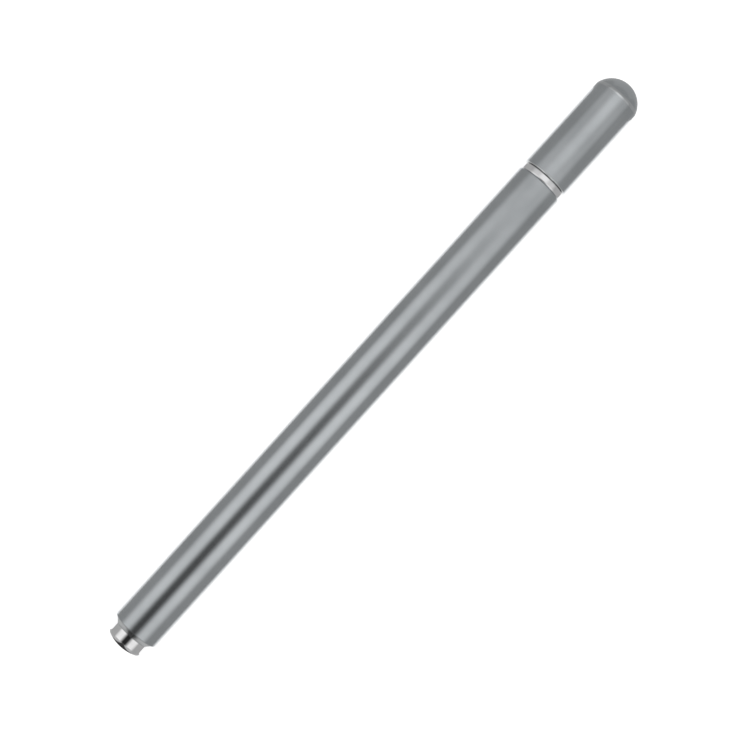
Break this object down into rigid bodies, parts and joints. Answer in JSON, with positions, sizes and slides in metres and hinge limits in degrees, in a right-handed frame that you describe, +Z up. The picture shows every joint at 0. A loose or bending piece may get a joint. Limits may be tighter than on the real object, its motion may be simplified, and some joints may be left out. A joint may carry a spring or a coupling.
{
  "type": "stylus pen",
  "caption": "Slim stylus pen with a grey aluminium barrel, pull-off domed cap, chrome trim ring and domed chrome tail post, and a clear disc tip that swivels on a ball.",
  "frame": {"origin": "on the ground below the middle of the closed pen, which lies on its side", "axes": "+X along the pen towards the cap, +Z up, +Y across the pen"},
  "size_m": [0.1346, 0.009, 0.009],
  "materials": {
    "anodised_grey": "fine bead-blasted, grey anodised, satin",
    "bright_chrome": "polished and chrome plated",
    "plain_brass": "turned, unplated",
    "magnet_nickel": "nickel plated",
    "black_plastic": "moulded",
    "tip_steel": "turned and polished",
    "clear_plastic": "clear, moulded, polished",
    "contact_plate": "thin bright foil",
    "keeper_steel": "turned steel, nickel plated"
  },
  "bodies": {
    "pen": {"barrel_tube": "anodised_grey", "trim_ring": "bright_chrome", "tail_post": "bright_chrome", "nose_collar": "bright_chrome", "nose_cone": "bright_chrome", "front_insert": "plain_brass", "nose_magnet": "magnet_nickel", "tail_magnet": "magnet_nickel", "tail_plug": "black_plastic", "tip_stem": "tip_steel"},
    "cap": {"cap_shell": "anodised_grey", "cap_keeper": "keeper_steel"},
    "socket": {"ball_socket": "tip_steel"},
    "disc": {"tip_disc": "clear_plastic", "disc_contact": "contact_plate"}
  },
  "joints": [
    {"name": "cap_pull", "type": "slide", "parent": "pen", "child": "cap", "axis": [1, 0, 0], "range_m": [0, 0.03]},
    {"name": "tip_tilt", "type": "hinge", "parent": "pen", "child": "socket", "pos_m": [0.05611, 0, 0.0045], "axis": [0, 1, 0], "range_deg": [-30, 30]},
    {"name": "tip_swing", "type": "hinge", "parent": "socket", "child": "disc", "pos_m": [0.05611, 0, 0.0045], "axis": [0, 0, 1], "range_deg": [-30, 30]}
  ]
}
